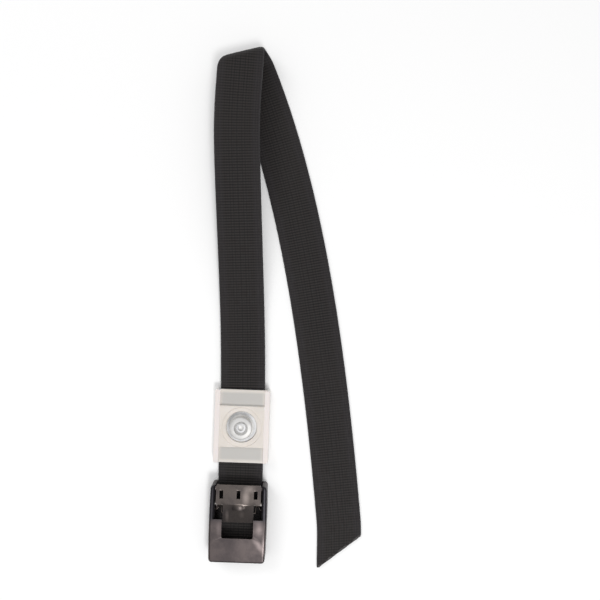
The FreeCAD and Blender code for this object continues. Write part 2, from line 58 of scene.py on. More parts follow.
# ---- band, in metres: the same route as its CAD solid -------------------------------------
BAND_WIDTH = 20.0 * MM
BAND_THICK = 1.5 * MM
BAND_LENGTH = 459.0 * MM
BAND_END_Y = -15.0 * MM
BAND_LOW_Z = 1.95 * MM
FOLD_RADIUS = 5.95 * MM      # of the mid-thickness surface
FOLD_ANGLE = math.radians(15.4)
FOLD_POINT = np.array([-5.0, 202.1]) * MM
RISE_START_Y = 82.0 * MM
RISE_END_Y = 172.0 * MM
LEAN_START_Y = 28.0 * MM
LEAN_END_Y = 96.5 * MM
LEAN = math.radians(3.1)     # sideways drift at mid-length
EASE_START_Y = 161.0 * MM
EASE_END_Y = 195.0 * MM
FOLD_LEAN = math.radians(-2.4)
FOLD_TURN = math.radians(9.4)    # in its own plane, round the fold
FOLD_SKEW_START = -30.0 * MM     # before the fold, where the cross lines start to follow it
FOLD_SKEW_END = 40.0 * MM        # past the fold
STRAIGHTEN_LENGTH = 112.6 * MM
END_HEADING = math.radians(3.6)
CUT_SKEW = math.radians(34.0)
CUT_SKEW_START = -40.0 * MM      # from the end, where the cross lines start to follow the cut
CUT_SKEW_END = -2.0 * MM
END_FLARE = 1.7 * MM             # how far the pointed tip bends aside
FLARE_START = -15.0 * MM         # along the band, from the middle of the cut
FLARE_END = 11.0 * MM

# ---- weave ----------------------------------------------------------------------------------
RIB_PITCH = 1.2 * MM
RIB_STEPS = 4                # stations along one rib
RIB_DEPTH = 0.13 * MM
WARP_PITCH = 1.14 * MM
WARP_DEPTH = 0.06 * MM
ACROSS_STEPS = 54
SELVEDGE = 1.1 * MM          # ribs fade out over this width
EVEN_SPREAD = 0.65           # share of the steps across that is even; the rest crowds to the edges
EDGE_POWER = 14              # higher makes the selvedges squarer
FOLD_CURL = 0.9 * MM         # how far the selvedges draw in around the fold
CURL_POWER = 7               # higher keeps the curl closer to the selvedges
LIP_RADIUS = 0.72 * MM       # melted edge of the cut
LIP_INSET = 0.35 * MM
LIP_MARGIN = 0.4 * MM        # left free at each selvedge

# ---- springs --------------------------------------------------------------------------------
WIRE_RADIUS = 0.25 * MM
COIL_RADIUS = 1.28 * MM
COIL_TURNS = 3
COIL_PITCH = 0.56 * MM
COIL_START_X = 7.6 * MM
LIFT_LEG_Y = -4.0 * MM       # leg under the lever's tail, from the pin
LIFT_LEG_Z = 0.25 * MM
LIFT_LEG_LENGTH = 2.6 * MM
WALL_LEG_Y = -3.0 * MM       # leg in the side wall
LEG_BEND = 0.6 * MM          # length of a leg's rounded corner
COIL_STEPS = 24              # points in a turn

# ---- snap -----------------------------------------------------------------------------------
BORE_RADIUS = 1.6 * MM
FOOT_RADIUS = 5.35 * MM
FOOT_EDGE = 0.2 * MM
NECK_RADIUS = 4.05 * MM
NECK_ROUND = 0.3 * MM
NECK_TOP_Z = 6.3 * MM
HEAD_RADIUS = 5.0 * MM
HEAD_LOW_Z = 7.0 * MM        # middle of the head's lower rounding
HEAD_LOW_ROUND = 0.55 * MM
HEAD_TOP_ROUND = 0.7 * MM
DISH_RIM_RADIUS = 3.25 * MM
DISH_RIM_ROUND = 0.35 * MM

# ---- carrier and lever ------------------------------------------------------------------------
FIELD_TOP_Z = 4.3 * MM       # the carrier's thin fields
BAND_SHOWS = 8.4 * MM        # from the carrier's middle line; the band darkens the fields to here
BAND_HIDDEN = 10.6 * MM      # and not at all beyond here
RAIL_START = 9.6 * MM
RAIL_END = 10.3 * MM
LIP_INNER = 2.0 * MM         # from the carrier's ends, where the dark starts to fade
LIP_OUTER = 0.5 * MM
LEVER_TOP_Z = 8.5 * MM
LEVER_TAIL_Z = 7.0 * MM

# ---- plating: tarnished and clean tones, painted shade and painted highlights -----------------
BLACK_NICKEL = ((0.061, 0.052, 0.053, 1), (0.1, 0.083, 0.081, 1))
LEVER_NICKEL = ((0.052, 0.045, 0.044, 1), (0.088, 0.075, 0.069, 1))
SATIN_NICKEL = ((0.68, 0.675, 0.665, 1), (0.8, 0.79, 0.775, 1))
DULL_NICKEL = ((0.63, 0.632, 0.64, 1), (0.75, 0.752, 0.76, 1))
# colour of the painted shade on the frame's wall tops
PAINTED_WALL_SHADE = (0.036, 0.0352, 0.041, 1)
SHADED_START_Y = 0.9 * MM    # painted shade darkens the frame's wall tops from here on
SHADED_END_Y = 2.9 * MM
SHADED_LOW_Z = 7.4 * MM
SHADED_HIGH_Z = 8.4 * MM
PAINTED_HIGHLIGHT = 2.6               # brightness of a painted highlight over clean plating
RUBBED = 2.2                 # and of a rubbed edge

# ---- light ------------------------------------------------------------------------------------
SKY_HORIZON = 0.45
SKY_OVERHEAD = 1.2
SKY_RAMP = (0.72, 0.97)      # height of a direction where the sky starts and stops brightening
KEY_PLACE = (0.2, -0.3, 0.75)
KEY_TARGET = (0.01, 0.08, 0.0)
KEY_SIZE = 0.2
KEY_POWER = 2.5
FILL_PLACE = (-0.5, 0.55, 0.6)
FILL_TARGET = (0.0, 0.1, 0.0)
FILL_SIZE = 0.35
FILL_POWER = 1.3
FLOOR_REACH = 3.0
FLOOR_DROP = 0.05 * MM

# ---- camera ---------------------------------------------------------------------------------
CAMERA_HEIGHT = 270.0 * MM
VIEW_WIDTH = 273.0 * MM      # of the floor, across the whole picture
VIEW_CENTRE = (24.1 * MM, 99.9 * MM)
CAMERA_ROLL = math.radians(2.0)


# ---- materials ------------------------------------------------------------------------------

class Nodes:
    """A material's node tree, with short calls to add and join its nodes."""

    def __init__(self, name):
        self.material = bpy.data.materials.new(name)
        self.material.use_nodes = True
        self.tree = self.material.node_tree
        self.shader = self.tree.nodes["Principled BSDF"]

    def link(self, source, target):
        self.tree.links.new(source, target)

    def value(self, target, value):
        """Put a number, a colour or another node's output into a socket."""
        if isinstance(value, bpy.types.NodeSocket):
            self.link(value, target)
        else:
            target.default_value = value

    def position(self):
        """Object coordinates, in metres."""
        return self.tree.nodes.new("ShaderNodeTexCoord").outputs["Object"]

    def attribute(self, name):
        node = self.tree.nodes.new("ShaderNodeAttribute")
        node.attribute_name = name
        return node.outputs["Vector"]

    def split(self, vector):
        node = self.tree.nodes.new("ShaderNodeSeparateXYZ")
        self.link(vector, node.inputs[0])
        return node.outputs["X"], node.outputs["Y"], node.outputs["Z"]

    def scaled(self, vector, scale):
        node = self.tree.nodes.new("ShaderNodeMapping")
        self.link(vector, node.inputs["Vector"])
        node.inputs["Scale"].default_value = scale
        return node.outputs["Vector"]

    def noise(self, vector, scale, detail=3.0, roughness=0.55, distortion=0.0):
        node = self.tree.nodes.new("ShaderNodeTexNoise")
        self.link(vector, node.inputs["Vector"])
        node.inputs["Scale"].default_value = scale
        node.inputs["Detail"].default_value = detail
        node.inputs["Roughness"].default_value = roughness
        node.inputs["Distortion"].default_value = distortion
        return node.outputs["Fac"]

    def cells(self, vector, scale):
        node = self.tree.nodes.new("ShaderNodeTexVoronoi")
        self.link(vector, node.inputs["Vector"])
        node.inputs["Scale"].default_value = scale
        return node.outputs["Distance"]

    def math(self, operation, a, b=0.0, clamp=False):
        node = self.tree.nodes.new("ShaderNodeMath")
        node.operation = operation
        node.use_clamp = clamp
        self.value(node.inputs[0], a)
        self.value(node.inputs[1], b)
        return node.outputs[0]

    def ramp(self, fac, low, high, to_low=0.0, to_high=1.0):
        """Map fac from low..high to to_low..to_high, smoothly and clamped."""
        node = self.tree.nodes.new("ShaderNodeMapRange")
        node.interpolation_type = "SMOOTHSTEP"
        self.link(fac, node.inputs["Value"])
        node.inputs["From Min"].default_value = low
        node.inputs["From Max"].default_value = high
        node.inputs["To Min"].default_value = to_low
        node.inputs["To Max"].default_value = to_high
        return node.outputs["Result"]

    def mix(self, fac, a, b):
        """Blend two colours."""
        node = self.tree.nodes.new("ShaderNodeMix")
        node.data_type = "RGBA"
        self.value(node.inputs["Factor"], fac)
        self.value(node.inputs[6], a)
        self.value(node.inputs[7], b)
        return node.outputs[2]

    def edges(self, radius):
        """0 on flat stretches, rising towards edges that are closer than the radius."""
        rounded = self.tree.nodes.new("ShaderNodeBevel")
        rounded.inputs["Radius"].default_value = radius
        facing = self.tree.nodes.new("ShaderNodeNewGeometry")
        agree = self.tree.nodes.new("ShaderNodeVectorMath")
        agree.operation = "DOT_PRODUCT"
        self.link(rounded.outputs["Normal"], agree.inputs[0])
        self.link(facing.outputs["Normal"], agree.inputs[1])
        return self.math("SUBTRACT", 1.0, agree.outputs["Value"])

    def patch(self, centre, reach, turn=0.0):
        """1 at a place, falling smoothly to 0 at the given distances from it along turned axes."""
        scale = [1.0 / r for r in reach]
        turned = self.tree.nodes.new("ShaderNodeVectorRotate")
        self.link(self.position(), turned.inputs["Vector"])
        turned.inputs["Center"].default_value = centre
        turned.inputs["Angle"].default_value = -math.radians(turn)
        node = self.tree.nodes.new("ShaderNodeMapping")
        self.link(turned.outputs["Vector"], node.inputs["Vector"])
        node.inputs["Scale"].default_value = scale
        node.inputs["Location"].default_value = [-c * k for c, k in zip(centre, scale)]
        distance = self.tree.nodes.new("ShaderNodeVectorMath")
        distance.operation = "LENGTH"
        self.link(node.outputs["Vector"], distance.inputs[0])
        return self.ramp(distance.outputs["Value"], 0.0, 1.0, 1.0, 0.0)

    def bump(self, height, strength, distance):
        node = self.tree.nodes.new("ShaderNodeBump")
        node.inputs["Strength"].default_value = strength
        node.inputs["Distance"].default_value = distance
        self.link(height, node.inputs["Height"])
        self.link(node.outputs["Normal"], self.shader.inputs["Normal"])

    def set(self, **sockets):
        """Set the shader's sockets by name, with _ for a space."""
        for name, value in sockets.items():
            self.value(self.shader.inputs[name.replace("_", " ")], value)
        return self.material


def webbing_material():
    """Black ribbed polyester: painted shade darkens the grooves, fibres along the yarns, plainer and
    lighter borders.
    """
    n = Nodes("webbing")
    place = n.attribute("weave")
    _, across, height = n.split(place)
    from_middle = n.math("ABSOLUTE", across)
    fibres = n.noise(n.scaled(place, (9000.0, 2200.0, 0.0)), 1.0, detail=2.0)
    yarns = n.noise(n.scaled(place, (260.0, 1750.0, 0.0)), 1.0, detail=3.0)
    patches = n.noise(n.scaled(place, (30.0, 60.0, 0.0)), 1.0, detail=4.0)
    # painted shade: the colour darkens from the tops of the ribs down into the grooves
    painted_groove_shade = n.ramp(height, 0.1, 0.95)
    shade = n.math("ADD", painted_groove_shade, n.ramp(yarns, 0.3, 0.7, -0.22, 0.22))
    shade = n.math("ADD", shade, n.ramp(fibres, 0.3, 0.7, -0.12, 0.12), clamp=True)
    base = n.mix(shade, (0.0018, 0.0015, 0.0016, 1), (0.0235, 0.0195, 0.0185, 1))
    base = n.mix(n.ramp(patches, 0.35, 0.7, 0.0, 0.22), base, (0.021, 0.0175, 0.0165, 1))
    border = n.ramp(from_middle, 5.8 * MM, 7.4 * MM, 0.0, 0.35)
    base = n.mix(border, base, (0.024, 0.021, 0.0235, 1))
    edge = n.ramp(from_middle, 8.9 * MM, 9.8 * MM, 0.0, 0.35)
    base = n.mix(edge, base, (0.036, 0.033, 0.037, 1))
    n.bump(n.math("ADD", n.math("MULTIPLY", fibres, 0.5), yarns), 0.35, 0.05 * MM)
    rough = n.ramp(yarns, 0.3, 0.7, 0.62, 0.82)
    return n.set(Base_Color=base, Roughness=rough, Sheen_Weight=0.06, Sheen_Roughness=0.4,
                 Specular_IOR_Level=0.3)


def melted_material():
    """Band fibre fused by the hot cut: smoother and a little paler than the weave."""
    n = Nodes("melted_fibre")
    place = n.position()
    beads = n.noise(place, 1400.0, detail=4.0)
    base = n.mix(n.ramp(beads, 0.35, 0.65), (0.018, 0.016, 0.0155, 1), (0.055, 0.05, 0.048, 1))
    n.bump(beads, 0.6, 0.12 * MM)
    return n.set(Base_Color=base, Roughness=0.5)


def brighter(colour, factor):
    """A colour times a factor, no brighter than white."""
    return tuple(min(1.0, factor * c) for c in colour[:3]) + (1,)


def plated_material(name, tones, roughness, painted_highlights=(), wear=0.7, paint_wall_shade=False):
    """Plated metal: tarnish, faint wiping marks, brighter rubbed edges and painted highlights.

    A painted highlight is (centre, reach along each axis, turn in degrees, strength). Painted shade
    darkens the tops of the walls beside the lever.
    """
    dark, light = tones
    n = Nodes(name)
    place = n.position()
    blotches = n.noise(place, 120.0, detail=3.0, roughness=0.5, distortion=0.4)
    fine = n.noise(place, 1500.0, detail=4.0, roughness=0.65)
    wipes = n.noise(n.scaled(place, (2600.0, 240.0, 2600.0)), 1.0, detail=3.0)
    pits = n.ramp(n.cells(place, 900.0), 0.06, 0.16)
    tone = n.math("ADD", n.math("MULTIPLY", blotches, 0.75), n.math("MULTIPLY", fine, 0.25))
    base = n.mix(n.ramp(tone, 0.36, 0.66), dark, light)
    # painted highlights: bright patches put where the lamps would reflect
    for centre, reach, turn, strength in painted_highlights:
        ragged = n.ramp(tone, 0.3, 0.7, 0.6, 1.1)
        spot = n.math("MULTIPLY", n.math("MULTIPLY", n.patch(centre, reach, turn), ragged), strength)
        base = n.mix(spot, base, brighter(light, PAINTED_HIGHLIGHT))
    rubbed = n.ramp(n.edges(0.4 * MM), 0.004, 0.1, 0.0, wear)
    base = n.mix(rubbed, base, brighter(light, RUBBED))
    if paint_wall_shade:
        # painted shade: a darker, bluer colour on the wall tops beside the lever
        _, y, z = n.split(place)
        beside = n.ramp(y, SHADED_START_Y, SHADED_END_Y, 0.0, 0.85)
        upper = n.ramp(z, SHADED_LOW_Z, SHADED_HIGH_Z)
        base = n.mix(n.math("MULTIPLY", beside, upper), base, PAINTED_WALL_SHADE)
    low, high = roughness
    rough = n.math("ADD", n.ramp(tone, 0.35, 0.68, high, low), n.math("MULTIPLY", fine, 0.1))
    height = n.math("ADD", n.math("MULTIPLY", fine, 0.6), n.math("MULTIPLY", pits, 0.3))
    height = n.math("ADD", height, n.math("MULTIPLY", wipes, 0.25))
    n.bump(height, 0.2, 0.03 * MM)
    return n.set(Base_Color=base, Metallic=1.0, Roughness=rough)


def millimetres(x, y, z):
    """A point, or a size along each axis, given in millimetres."""
    return (x * MM, y * MM, z * MM)


def frame_painted_highlights():
    """Painted highlights on top of the buckle frame: its right arm and corner, and the left arm."""
    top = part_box("buckle_frame")[1].z / MM
    return [
        (millimetres(9.8, -1.6, top), millimetres(2.6, 6.2, 1.5), 4.0, 0.6),
        (millimetres(9.4, -8.4, top), millimetres(2.0, 5.4, 1.5), 38.0, 0.85),
        (millimetres(11.6, -9.0, top), millimetres(0.9, 9.0, 1.5), 0.0, 0.6),
        (millimetres(-8.2, -1.8, top), millimetres(1.4, 4.6, 1.5), 0.0, 0.25)]


def lever_painted_highlights():
    """Painted highlights on the lever: two on the plate, two on the tail, two on the bead between."""
    top = LEVER_TOP_Z / MM
    tail = LEVER_TAIL_Z / MM
    return [
        (millimetres(4.6, 15.6, top), millimetres(3.6, 2.4, 1.0), 0.0, 0.55),
        (millimetres(3.3, 12.0, top), millimetres(2.3, 5.0, 1.0), 0.0, 0.8),
        (millimetres(-4.9, 3.6, tail), millimetres(1.2, 4.6, 2.0), 0.0, 0.6),
        (millimetres(1.6, 4.2, tail), millimetres(1.6, 2.6, 2.0), 0.0, 0.3),
        (millimetres(0.9, 8.75, top), millimetres(3.2, 0.45, 0.8), 0.0, 1.6),
        (millimetres(2.6, 7.3, top), millimetres(0.8, 0.8, 1.6), 0.0, 1.4)]


def milky_material():
    """Milky moulded plastic, greyer in the thin fields over the dark band, with painted light making steep
    walls paler.
    """
    n = Nodes("milky_plastic")
    place = n.position()
    x, y, z = n.split(place)
    clouds = n.noise(place, 130.0, detail=4.0)
    grain = n.noise(place, 2600.0, detail=3.0)
    low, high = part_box("slide_cover")
    centre = (low + high) / 2
    from_side = n.math("ABSOLUTE", n.math("SUBTRACT", x, centre.x))
    from_middle = n.math("ABSOLUTE", n.math("SUBTRACT", y, centre.y))
    half_length = (high.y - low.y) / 2
    over_band = n.ramp(from_side, BAND_SHOWS, BAND_HIDDEN, 1.0, 0.0)
    before_lip = n.ramp(from_middle, half_length - LIP_INNER, half_length - LIP_OUTER, 1.0, 0.2)
    thin = n.ramp(z, FIELD_TOP_Z + 0.02 * MM, FIELD_TOP_Z + 0.3 * MM, 1.0, 0.0)
    behind = n.math("MULTIPLY", n.math("MULTIPLY", over_band, thin), before_lip)
    base = n.mix(n.ramp(clouds, 0.3, 0.7), (0.68, 0.63, 0.575, 1), (0.74, 0.69, 0.645, 1))
    rail = n.ramp(from_side, RAIL_START, RAIL_END)
    base = n.mix(rail, base, (0.78, 0.72, 0.70, 1))
    base = n.mix(behind, base, (0.505, 0.49, 0.468, 1))
    # painted light: steep walls get a paler colour to lift the shade they get from the dim horizon
    facing = n.tree.nodes.new("ShaderNodeNewGeometry").outputs["Normal"]
    painted_wall_light = n.ramp(n.split(facing)[2], 0.3, 0.85, 1.0, 0.0)
    base = n.mix(painted_wall_light, base, (0.97, 0.93, 0.89, 1))
    n.bump(grain, 0.12, 0.03 * MM)
    rough = n.ramp(clouds, 0.3, 0.7, 0.34, 0.46)
    return n.set(Base_Color=base, Roughness=rough, IOR=1.49, Subsurface_Weight=0.25,
                 Subsurface_Radius=(1.2 * MM, 1.1 * MM, 0.9 * MM), Subsurface_Scale=1.0)


def brushed_material(name, light, roughness):
    """Bare steel with fine marks along the band."""
    n = Nodes(name)
    place = n.position()
    lines = n.noise(n.scaled(place, (5200.0, 90.0, 5200.0)), 1.0, detail=3.0)
    smudges = n.noise(place, 120.0, detail=4.0)
    dull = tuple(0.72 * c for c in light[:3]) + (1,)
    base = n.mix(n.ramp(lines, 0.25, 0.75, 0.2, 1.0), dull, light)
    n.bump(lines, 0.2, 0.02 * MM)
    rough = n.ramp(smudges, 0.3, 0.7, roughness, roughness + 0.12)
    return n.set(Base_Color=base, Metallic=1.0, Roughness=rough)


def floor_material():
    """Plain matt white."""
    n = Nodes("studio_floor")
    return n.set(Base_Color=(0.98, 0.98, 0.98, 1), Roughness=0.9, Specular_IOR_Level=0.1)


# ---- mesh helpers ---------------------------------------------------------------------------

def make_object(name, vertices, faces, material, smooth=True):
    """A mesh object from vertex places and face corners."""
    mesh = bpy.data.meshes.new(name)
    mesh.from_pydata([tuple(v) for v in vertices], [], faces)
    mesh.validate()
    piece = bpy.data.objects.new(name, mesh)
    bpy.context.scene.collection.objects.link(piece)
    mesh.materials.append(material)
    mesh.polygons.foreach_set("use_smooth", [smooth] * len(mesh.polygons))
    return piece


def lathe(name, profile, centre, material, segments=128):
    """A turned piece: (radius, height) points swept about an upright axis, a flat face at each end."""
    vertices = []
    for radius, height in profile:
        for k in range(segments):
            angle = 2 * math.pi * k / segments
            x = centre.x + radius * math.cos(angle)
            y = centre.y + radius * math.sin(angle)
            vertices.append((x, y, height))
    faces = []
    rows = len(profile)
    for row in range(rows - 1):
        for k in range(segments):
            a = row * segments + k
            b = row * segments + (k + 1) % segments
            faces.append((a, b, b + segments, a + segments))
    faces.append(tuple(range(segments))[::-1])
    faces.append(tuple(range((rows - 1) * segments, rows * segments)))
    return make_object(name, vertices, faces, material)


def arc(centre, radius, start, end, steps):
    """Points of a circular arc in a profile, angles in degrees."""
    points = []
    for k in range(steps + 1):
        angle = math.radians(start + (end - start) * k / steps)
        points.append((centre[0] + radius * math.cos(angle), centre[1] + radius * math.sin(angle)))
    return points


def tube(name, path, radii, material, sides=12):
    """A round wire along a path, one radius or one per point, its section carried along without twist."""
    path = [Vector(p) for p in path]
    radii = np.broadcast_to(radii, len(path))
    tangents = []
    for i in range(len(path)):
        before = path[max(i - 1, 0)]
        after = path[min(i + 1, len(path) - 1)]
        tangents.append((after - before).normalized())
    side = tangents[0].orthogonal().normalized()
    vertices = []
    for point, tangent, radius in zip(path, tangents, radii.tolist()):
        side = (side - tangent * side.dot(tangent)).normalized()
        other = tangent.cross(side)
        for k in range(sides):
            angle = 2 * math.pi * k / sides
            vertices.append(point + side * (radius * math.cos(angle)) + other * (radius * math.sin(angle)))
    faces = []
    for i in range(len(path) - 1):
        for k in range(sides):
            a = i * sides + k
            b = i * sides + (k + 1) % sides
            faces.append((a, b, b + sides, a + sides))
    faces.append(tuple(range(sides))[::-1])
    faces.append(tuple(range((len(path) - 1) * sides, len(path) * sides)))
    return make_object(name, vertices, faces, material)


def dress(node, material, bevel=0.0):
    """Give a CAD node its material, and soften its edges."""
    piece = frame["nodes"][node]
    piece.data.materials.clear()
    piece.data.materials.append(material)
    if bevel:
        weld = piece.modifiers.new("weld", "WELD")
        weld.merge_threshold = 0.002 * MM
        soften = piece.modifiers.new("soften", "BEVEL")
        soften.width = bevel
        soften.segments = 3
        soften.limit_method = "ANGLE"
        soften.angle_limit = math.radians(38)
        normals = piece.modifiers.new("normals", "WEIGHTED_NORMAL")
        normals.weight = 100
        normals.thresh = 0.3


# ---- band -----------------------------------------------------------------------------------

def smooth(value, start, end):
    """Eased step from 0 at start to 1 at end."""
    t = np.clip((value - start) / (end - start), 0.0, 1.0)
    return t * t * (3.0 - 2.0 * t)


def fold_axes():
    """Unit vectors along the fold and square to it, in plan."""
    along = np.array([math.cos(FOLD_ANGLE), math.sin(FOLD_ANGLE)])
    return along, np.array([-along[1], along[0]])


def band_stations(step):
    """Centreline points, headings and skews of the unfolded band, one row per station."""
    square = fold_axes()[1]
    turn = math.pi * FOLD_RADIUS
    first = 2 * FOLD_ANGLE - FOLD_LEAN - FOLD_TURN
    point = np.array([0.0, BAND_END_Y])
    past = None
    rows = []
    for index in range(int(round(BAND_LENGTH / step)) + 1):
        travelled = index * step
        to_fold = (point - FOLD_POINT) @ square
        if past is None:
            lean = LEAN * smooth(point[1], LEAN_START_Y, LEAN_END_Y)
            lean -= (LEAN - FOLD_LEAN) * smooth(point[1], EASE_START_Y, EASE_END_Y)
            lean += FOLD_TURN * smooth(to_fold, 0.0, turn)
        else:
            slant = END_HEADING + (first - END_HEADING) * math.exp(-past / STRAIGHTEN_LENGTH)
            lean = 2 * FOLD_ANGLE - slant
        heading = math.pi / 2 + lean
        skew = (FOLD_ANGLE - lean) * smooth(to_fold, FOLD_SKEW_START, 0.0)
        if past is not None:
            skew *= 1.0 - smooth(past, 0.0, FOLD_SKEW_END)
        skew -= CUT_SKEW * smooth(travelled - BAND_LENGTH, CUT_SKEW_START, CUT_SKEW_END)
        rows.append((travelled, point[0], point[1], heading, skew))
        point = point + step * np.array([math.cos(heading), math.sin(heading)])
        if past is not None:
            past += step
        elif (point - FOLD_POINT) @ square > turn:
            past = 0.0
    return np.array(rows)


def fold_over(points):
    """Places of points of the unfolded band, and outward normals of its upper face."""
    square = fold_axes()[1]
    top_z = BAND_THICK / 2 + 2 * FOLD_RADIUS
    turn = math.pi * FOLD_RADIUS
    past = (points - FOLD_POINT) @ square
    angle = np.clip(past / FOLD_RADIUS, 0.0, math.pi)
    shift = np.where(past > 0, FOLD_RADIUS * np.sin(angle) - past, 0.0)
    shift = np.where(past > turn, turn - 2 * past, shift)
    places = np.empty(points.shape[:-1] + (3,))
    places[..., :2] = points + shift[..., None] * square
    climb = top_z - BAND_LOW_Z
    rise = BAND_LOW_Z + climb * smooth(points[..., 1], RISE_START_Y, RISE_END_Y)
    places[..., 2] = np.where(past > 0, top_z - FOLD_RADIUS * (1 - np.cos(angle)), rise)
    t = np.clip((points[..., 1] - RISE_START_Y) / (RISE_END_Y - RISE_START_Y), 0.0, 1.0)
    slope = climb * 6 * t * (1 - t) / (RISE_END_Y - RISE_START_Y)
    normals = np.empty_like(places)
    lean = np.where(past > 0, 0.0, -slope)
    normals[..., 0] = np.sin(angle) * square[0]
    normals[..., 1] = np.sin(angle) * square[1] + lean
    normals[..., 2] = np.where(past > 0, np.cos(angle), 1.0)
    normals /= np.linalg.norm(normals, axis=-1, keepdims=True)
    return places, normals


def rib_relief(along, across):
    """Weave height from 0 in the grooves to 1 on the yarns."""
    lane = across / WARP_PITCH
    phase = along / RIB_PITCH
    rib = np.abs(np.sin(math.pi * phase)) ** 0.8
    groove = np.abs(np.cos(math.pi * lane)) ** 6
    inside = smooth(BAND_WIDTH / 2 - np.abs(across), 0.2 * MM, SELVEDGE)
    return rib * inside + 0.7 * (1 - inside), groove * inside


def band_grid():
    """Distances along and across the band, and the places and upper normals of its middle surface."""
    stations = band_stations(RIB_PITCH / RIB_STEPS)
    travelled, x, y, heading, skew = stations.T
    centre = np.stack([x, y], axis=1)
    forward = np.stack([np.cos(heading), np.sin(heading)], axis=1)
    right = np.stack([np.sin(heading), -np.cos(heading)], axis=1)
    cross = right + forward * np.tan(skew)[:, None]
    spread = np.linspace(-1.0, 1.0, ACROSS_STEPS + 1)
    crowded = np.sin(math.pi / 2 * spread)
    across = BAND_WIDTH / 2 * (crowded * (1 - EVEN_SPREAD) + spread * EVEN_SPREAD)
    flat = centre[:, None, :] + cross[:, None, :] * across[None, :, None]
    along = travelled[:, None] + np.tan(skew)[:, None] * across[None, :]
    places, normals = fold_over(flat)
    places[..., 0] -= END_FLARE * smooth(along - BAND_LENGTH, FLARE_START, FLARE_END)
    outward = normals[..., :2] @ fold_axes()[1]
    curl = FOLD_CURL * np.maximum(outward, 0.0) ** 2 * np.abs(across / (BAND_WIDTH / 2)) ** CURL_POWER
    places[..., :2] -= curl[..., None] * fold_axes()[1]
    places[..., :2] -= (curl * np.sign(across))[..., None] * fold_axes()[0]
    return along, across, places, normals


def webbing(along, across, places, normals):
    """The woven band as one closed piece, ribbed on both faces, with rounded selvedges."""
    body = BAND_THICK / 2 * (1 - np.abs(across / (BAND_WIDTH / 2)) ** EDGE_POWER) ** 0.5
    rib, groove = rib_relief(along, np.broadcast_to(across, along.shape))
    relief = RIB_DEPTH * (rib - 1.0) - WARP_DEPTH * groove
    edge = (np.abs(across) < BAND_WIDTH / 2 * 0.9999)[None, :]
    upper = places + normals * ((body[None, :] + relief) * edge)[..., None]
    rib_low, groove_low = rib_relief(along + RIB_PITCH / 2, np.broadcast_to(across, along.shape))
    relief_low = RIB_DEPTH * (rib_low - 1.0) - WARP_DEPTH * groove_low
    lower = places - normals * ((body[None, :] + relief_low) * edge)[..., None]
    count, width = along.shape
    ring = 2 * width - 2
    vertices = np.concatenate([upper, lower[:, -2:0:-1]], axis=1).reshape(-1, 3)
    heights = np.concatenate([rib - 0.5 * groove, (rib_low - 0.5 * groove_low)[:, -2:0:-1]], axis=1)
    alongs = np.concatenate([along, along[:, -2:0:-1]], axis=1)
    wides = np.broadcast_to(np.concatenate([across, across[-2:0:-1]]), alongs.shape)
    index = np.arange(count * ring).reshape(count, ring)
    ahead = np.roll(index, -1, axis=1)
    quads = np.stack([index[:-1], index[1:], ahead[1:], ahead[:-1]], axis=-1).reshape(-1, 4)
    faces = [tuple(q) for q in quads.tolist()]
    for row, turn in ((0, 1), (count - 1, -1)):
        for k in range(width - 1):
            a, b = index[row, k], index[row, k + 1]
            c, d = index[row, (ring - k - 1) % ring], index[row, (ring - k) % ring]
            corners = [int(v) for v in (a, b, c, d)][::turn]
            unique = list(dict.fromkeys(corners))
            faces.append(tuple(unique))
    piece = make_object("woven_band", vertices, faces, webbing_material())
    weave = piece.data.attributes.new("weave", "FLOAT_VECTOR", "POINT")
    values = np.stack([alongs, wides, heights], axis=-1).reshape(-1)
    weave.data.foreach_set("vector", values.astype(np.float32))
    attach(piece, "buckle")
    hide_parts("webbing_strap")


def melted_end(across, places):
    """The fused lip of the hot cut across the band's free end, a little uneven."""
    inward = (places[-3] - places[-1])[len(across) // 2]
    inward = inward / np.linalg.norm(inward)
    inside = np.abs(across) < BAND_WIDTH / 2 - LIP_MARGIN
    path = places[-1][inside] + inward * LIP_INSET
    ripple = np.sin(across[inside] / (0.9 * MM)) + 0.6 * np.sin(across[inside] / (0.37 * MM) + 1.0)
    radii = LIP_RADIUS * (1.0 + 0.06 * ripple)
    lip = tube("melted_end", path, radii, melted_material())
    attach(lip, "buckle")


# ---- springs --------------------------------------------------------------------------------

def lever_spring(side, material):
    """Torsion spring: outer leg in the side wall, coil on the pin, inner leg under the lever's tail."""
    hand = "right" if side > 0 else "left"
    name = "lever_spring_" + hand
    joint = [j for j in frame["joints"] if j["name"] == "lever_hinge"][0]
    pivot = Vector(joint["pos_m"])
    coil_length = COIL_TURNS * COIL_PITCH
    wall_x = COIL_START_X + coil_length
    wall_end_x = max(abs(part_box(name)[0].x), abs(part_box(name)[1].x))
    lift_y = pivot.y + LIFT_LEG_Y
    lift_z = pivot.z + LIFT_LEG_Z
    wall_y = pivot.y + WALL_LEG_Y
    low_z = pivot.z - COIL_RADIUS
    corner = LEG_BEND / 4
    path = [(COIL_START_X - LIFT_LEG_LENGTH, lift_y, lift_z), (COIL_START_X - LEG_BEND, lift_y, lift_z),
            (COIL_START_X - corner, lift_y + corner, lift_z),
            (COIL_START_X, lift_y + LEG_BEND, lift_z - corner),
            (COIL_START_X, pivot.y - 1.6 * MM, low_z + 0.35 * MM)]
    steps = COIL_STEPS * COIL_TURNS
    for k in range(steps + 1):
        angle = 2 * math.pi * COIL_TURNS * k / steps
        path.append((COIL_START_X + coil_length * k / steps,
                     pivot.y + COIL_RADIUS * math.sin(angle), pivot.z - COIL_RADIUS * math.cos(angle)))
    path += [(wall_x, wall_y + LEG_BEND, low_z), (wall_x + 0.2 * MM, wall_y + corner, low_z),
             (wall_x + 0.7 * MM, wall_y, low_z), (wall_end_x, wall_y, low_z)]
    mirrored = [(side * x, y, z) for x, y, z in path]
    piece = tube("coil_spring_" + hand, mirrored, WIRE_RADIUS, material)
    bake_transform(piece)
    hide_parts(name)


# ---- snap -----------------------------------------------------------------------------------

